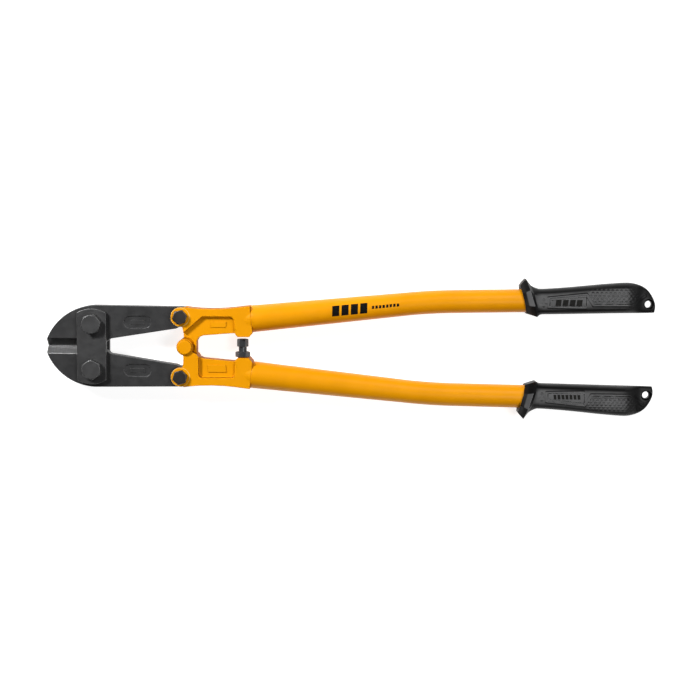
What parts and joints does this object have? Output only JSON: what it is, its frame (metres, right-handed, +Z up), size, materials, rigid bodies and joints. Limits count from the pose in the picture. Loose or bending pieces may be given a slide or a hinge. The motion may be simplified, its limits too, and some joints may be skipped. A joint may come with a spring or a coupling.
{
  "type": "bolt cutters",
  "caption": "Compound-leverage bolt cutters with bevelled jaws in side plates, forged yokes, a stop screw, steel tube handles and moulded grips with hanging holes.",
  "frame": {"origin": "middle of the footprint of the closed tool, on the surface it lies on", "axes": "+X along the tool from the jaws to the grips, +Y from the lower handle to the upper one, +Z up off the surface, from the nuts to the bolt heads"},
  "size_m": [0.6036, 0.14, 0.0378],
  "materials": {
    "jaw_steel": "dark heat-treated forging with bright ground bevels",
    "plate_steel": "dark satin oxide finish",
    "plate_bolt_steel": "dark oxide finish",
    "link_bolt_steel": "black oxide finish",
    "stop_screw_steel": "dull zinc",
    "yoke_paint": "semi-gloss yellow paint over a forging",
    "tube_paint": "gloss yellow paint",
    "grip_plastic": "black moulded vinyl with a textured panel"
  },
  "bodies": {
    "lower_handle": {"lower_yoke": "yoke_paint", "lower_handle_tube": "tube_paint", "lower_grip": "grip_plastic", "lower_link_bolt": "link_bolt_steel", "lower_link_nut": "link_bolt_steel", "centre_pivot_rivet": "yoke_paint", "centre_pivot_washer": "yoke_paint"},
    "upper_handle": {"upper_yoke": "yoke_paint", "upper_handle_tube": "tube_paint", "upper_grip": "grip_plastic", "upper_link_bolt": "link_bolt_steel", "upper_link_nut": "link_bolt_steel"},
    "lower_jaw": {"lower_jaw": "jaw_steel"},
    "side_plates": {"front_side_plate": "plate_steel", "back_side_plate": "plate_steel", "upper_plate_bolt": "plate_bolt_steel", "lower_plate_bolt": "plate_bolt_steel", "upper_plate_nut": "plate_bolt_steel", "lower_plate_nut": "plate_bolt_steel"},
    "upper_jaw": {"upper_jaw": "jaw_steel"},
    "stop_screw": {"stop_screw": "stop_screw_steel"},
    "lock_nut": {"lock_nut": "stop_screw_steel"}
  },
  "joints": [
    {"name": "handle_pivot", "type": "hinge", "parent": "lower_handle", "child": "upper_handle", "pos_m": [-0.16425, 0, 0.0187], "axis": [0, 0, 1], "range_deg": [0, 90]},
    {"name": "lower_jaw_link", "type": "hinge", "parent": "lower_handle", "child": "lower_jaw", "pos_m": [-0.16865, -0.0298, 0.0187], "axis": [0, 0, 1], "range_deg": [0, 52.8]},
    {"name": "lower_plate_pivot", "type": "hinge", "parent": "lower_jaw", "child": "side_plates", "pos_m": [-0.25575, -0.0225, 0.0187], "axis": [0, 0, 1], "range_deg": [-7.8, 0]},
    {"name": "upper_plate_pivot", "type": "hinge", "parent": "side_plates", "child": "upper_jaw", "pos_m": [-0.25575, 0.0225, 0.0187], "axis": [0, 0, 1], "range_deg": [-7.8, 0]},
    {"name": "stop_screw_travel", "type": "slide", "parent": "lower_handle", "child": "stop_screw", "axis": [0, 1, 0], "range_m": [-0.0045, 0.002]},
    {"name": "lock_nut_turn", "type": "hinge", "parent": "lower_handle", "child": "lock_nut", "pos_m": [-0.10775, -0.0075, 0.0187], "axis": [0, 1, 0], "continuous": true}
  ],
  "couplings": [
    {"joint": "lower_jaw_link", "follows": "handle_pivot", "ratio": 0.58631},
    {"joint": "lower_plate_pivot", "follows": "handle_pivot", "ratio": -0.08631},
    {"joint": "upper_plate_pivot", "follows": "handle_pivot", "ratio": -0.08631}
  ]
}
